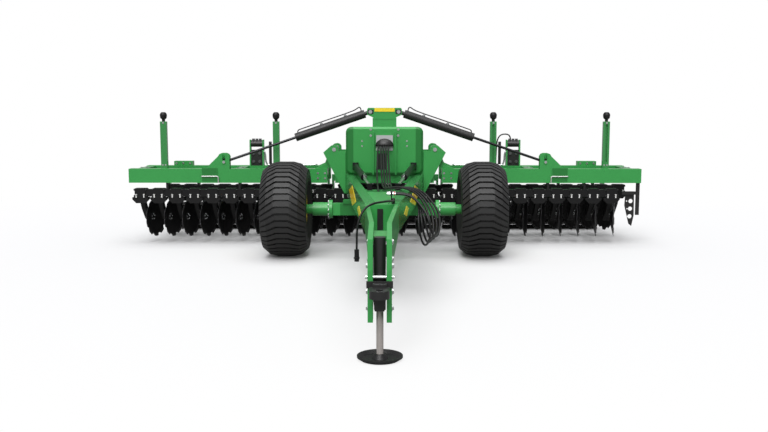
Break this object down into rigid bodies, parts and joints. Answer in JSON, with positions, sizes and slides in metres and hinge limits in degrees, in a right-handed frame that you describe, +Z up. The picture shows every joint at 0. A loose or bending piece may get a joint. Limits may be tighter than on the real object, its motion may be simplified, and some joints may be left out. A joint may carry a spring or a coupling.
{
  "type": "disc harrow",
  "caption": "Wide trailed disc harrow with folding wings, rows of notched blades on cushioned arms, bar rollers, flotation tyres and an A-frame tongue on a parking jack.",
  "frame": {"origin": "on the ground under the middle of the overall length and width", "axes": "+Y from the hitch towards the rear rollers, +X to the right as seen from the hitch, +Z up"},
  "size_m": [7.15, 8.11, 1.9269],
  "materials": {
    "green_paint": "gloss",
    "black_paint": "satin",
    "blade_steel": "satin",
    "tyre": "matt",
    "rim_yellow": "gloss",
    "rubber": "matt",
    "hose": "satin",
    "chrome": "polished",
    "zinc": "bright zinc"
  },
  "bodies": {
    "chassis": {"axle": "green_paint", "centre_frame": "green_paint", "centre_front_arms": "black_paint", "centre_front_blades": "blade_steel", "centre_rear_arms": "black_paint", "centre_rear_blades": "blade_steel", "centre_roller_frame": "green_paint", "harness": "hose", "harness_plug": "hose", "hinge_plates": "green_paint", "hitch": "black_paint", "hose_1": "hose", "hose_2": "hose", "hose_3": "hose", "hose_4": "hose", "hose_middle": "hose", "hose_rack": "black_paint", "jack_tube": "black_paint", "level_cylinders": "black_paint", "mast_panel": "green_paint", "mast_tower": "green_paint", "tongue_beam_left": "green_paint", "tongue_beam_right": "green_paint", "tongue_cross": "green_paint", "tongue_nose": "green_paint"},
    "wheel_left": {"rim_left": "rim_yellow", "tyre_left": "tyre"},
    "wheel_right": {"rim_right": "rim_yellow", "tyre_right": "tyre"},
    "wing_left": {"wing_left_bumpers": "rubber", "wing_left_front_arms": "black_paint", "wing_left_front_blades": "blade_steel", "wing_left_front_tube": "green_paint", "wing_left_hydraulic": "black_paint", "wing_left_posts": "green_paint", "wing_left_rear_arms": "black_paint", "wing_left_rear_blades": "blade_steel", "wing_left_rear_tube": "green_paint", "wing_left_ribs": "green_paint", "wing_left_roller_frame": "green_paint"},
    "wing_right": {"end_shield": "black_paint", "wing_right_bumpers": "rubber", "wing_right_front_arms": "black_paint", "wing_right_front_blades": "blade_steel", "wing_right_front_tube": "green_paint", "wing_right_hydraulic": "black_paint", "wing_right_posts": "green_paint", "wing_right_rear_arms": "black_paint", "wing_right_rear_blades": "blade_steel", "wing_right_rear_tube": "green_paint", "wing_right_ribs": "green_paint", "wing_right_roller_frame": "green_paint"},
    "fold_barrel_left": {"fold_barrel_left": "black_paint"},
    "fold_barrel_right": {"fold_barrel_right": "black_paint"},
    "fold_rod_left": {"fold_rod_left": "chrome"},
    "fold_rod_right": {"fold_rod_right": "chrome"},
    "roller_left": {"wing_left_roller": "black_paint"},
    "roller_centre": {"centre_roller": "black_paint"},
    "roller_right": {"wing_right_roller": "black_paint"},
    "jack": {"jack_leg": "zinc"}
  },
  "joints": [
    {"name": "wheel_left_spin", "type": "hinge", "parent": "chassis", "child": "wheel_left", "pos_m": [-1.27, 1.095, 0.616], "axis": [1, 0, 0], "continuous": true},
    {"name": "wheel_right_spin", "type": "hinge", "parent": "chassis", "child": "wheel_right", "pos_m": [1.27, 1.095, 0.616], "axis": [1, 0, 0], "continuous": true},
    {"name": "wing_left_fold", "type": "hinge", "parent": "chassis", "child": "wing_left", "pos_m": [-0.7, 1.995, 1.35], "axis": [0, 1, 0], "range_deg": [0, 90]},
    {"name": "wing_right_fold", "type": "hinge", "parent": "chassis", "child": "wing_right", "pos_m": [0.7, 1.995, 1.35], "axis": [0, -1, 0], "range_deg": [0, 90]},
    {"name": "fold_barrel_left_swing", "type": "hinge", "parent": "chassis", "child": "fold_barrel_left", "pos_m": [-0.195, 1.995, 1.87], "axis": [0, 1, 0], "range_deg": [0, 75.13]},
    {"name": "fold_rod_left_slide", "type": "slide", "parent": "fold_barrel_left", "child": "fold_rod_left", "axis": [0.9468, 0, 0.3218], "range_m": [0, 0.9345]},
    {"name": "fold_barrel_right_swing", "type": "hinge", "parent": "chassis", "child": "fold_barrel_right", "pos_m": [0.195, 1.995, 1.87], "axis": [0, -1, 0], "range_deg": [0, 75.13]},
    {"name": "fold_rod_right_slide", "type": "slide", "parent": "fold_barrel_right", "child": "fold_rod_right", "axis": [-0.9468, 0, 0.3218], "range_m": [0, 0.9345]},
    {"name": "roller_left_spin", "type": "hinge", "parent": "wing_left", "child": "roller_left", "pos_m": [-2.1575, 3.795, 0.24727], "axis": [1, 0, 0], "continuous": true},
    {"name": "roller_centre_spin", "type": "hinge", "parent": "chassis", "child": "roller_centre", "pos_m": [0, 3.795, 0.24727], "axis": [1, 0, 0], "continuous": true},
    {"name": "roller_right_spin", "type": "hinge", "parent": "wing_right", "child": "roller_right", "pos_m": [2.1575, 3.795, 0.24727], "axis": [1, 0, 0], "continuous": true},
    {"name": "jack_leg_slide", "type": "slide", "parent": "chassis", "child": "jack", "axis": [0, 0, 1], "range_m": [0, 0.24]}
  ],
  "couplings": [
    {"joint": "fold_barrel_left_swing", "follows": "wing_left_fold", "ratio": 0.83423},
    {"joint": "fold_rod_left_slide", "follows": "wing_left_fold", "m_per_rad": 0.59459},
    {"joint": "fold_barrel_right_swing", "follows": "wing_right_fold", "ratio": 0.83423},
    {"joint": "fold_rod_right_slide", "follows": "wing_right_fold", "m_per_rad": 0.59459}
  ]
}
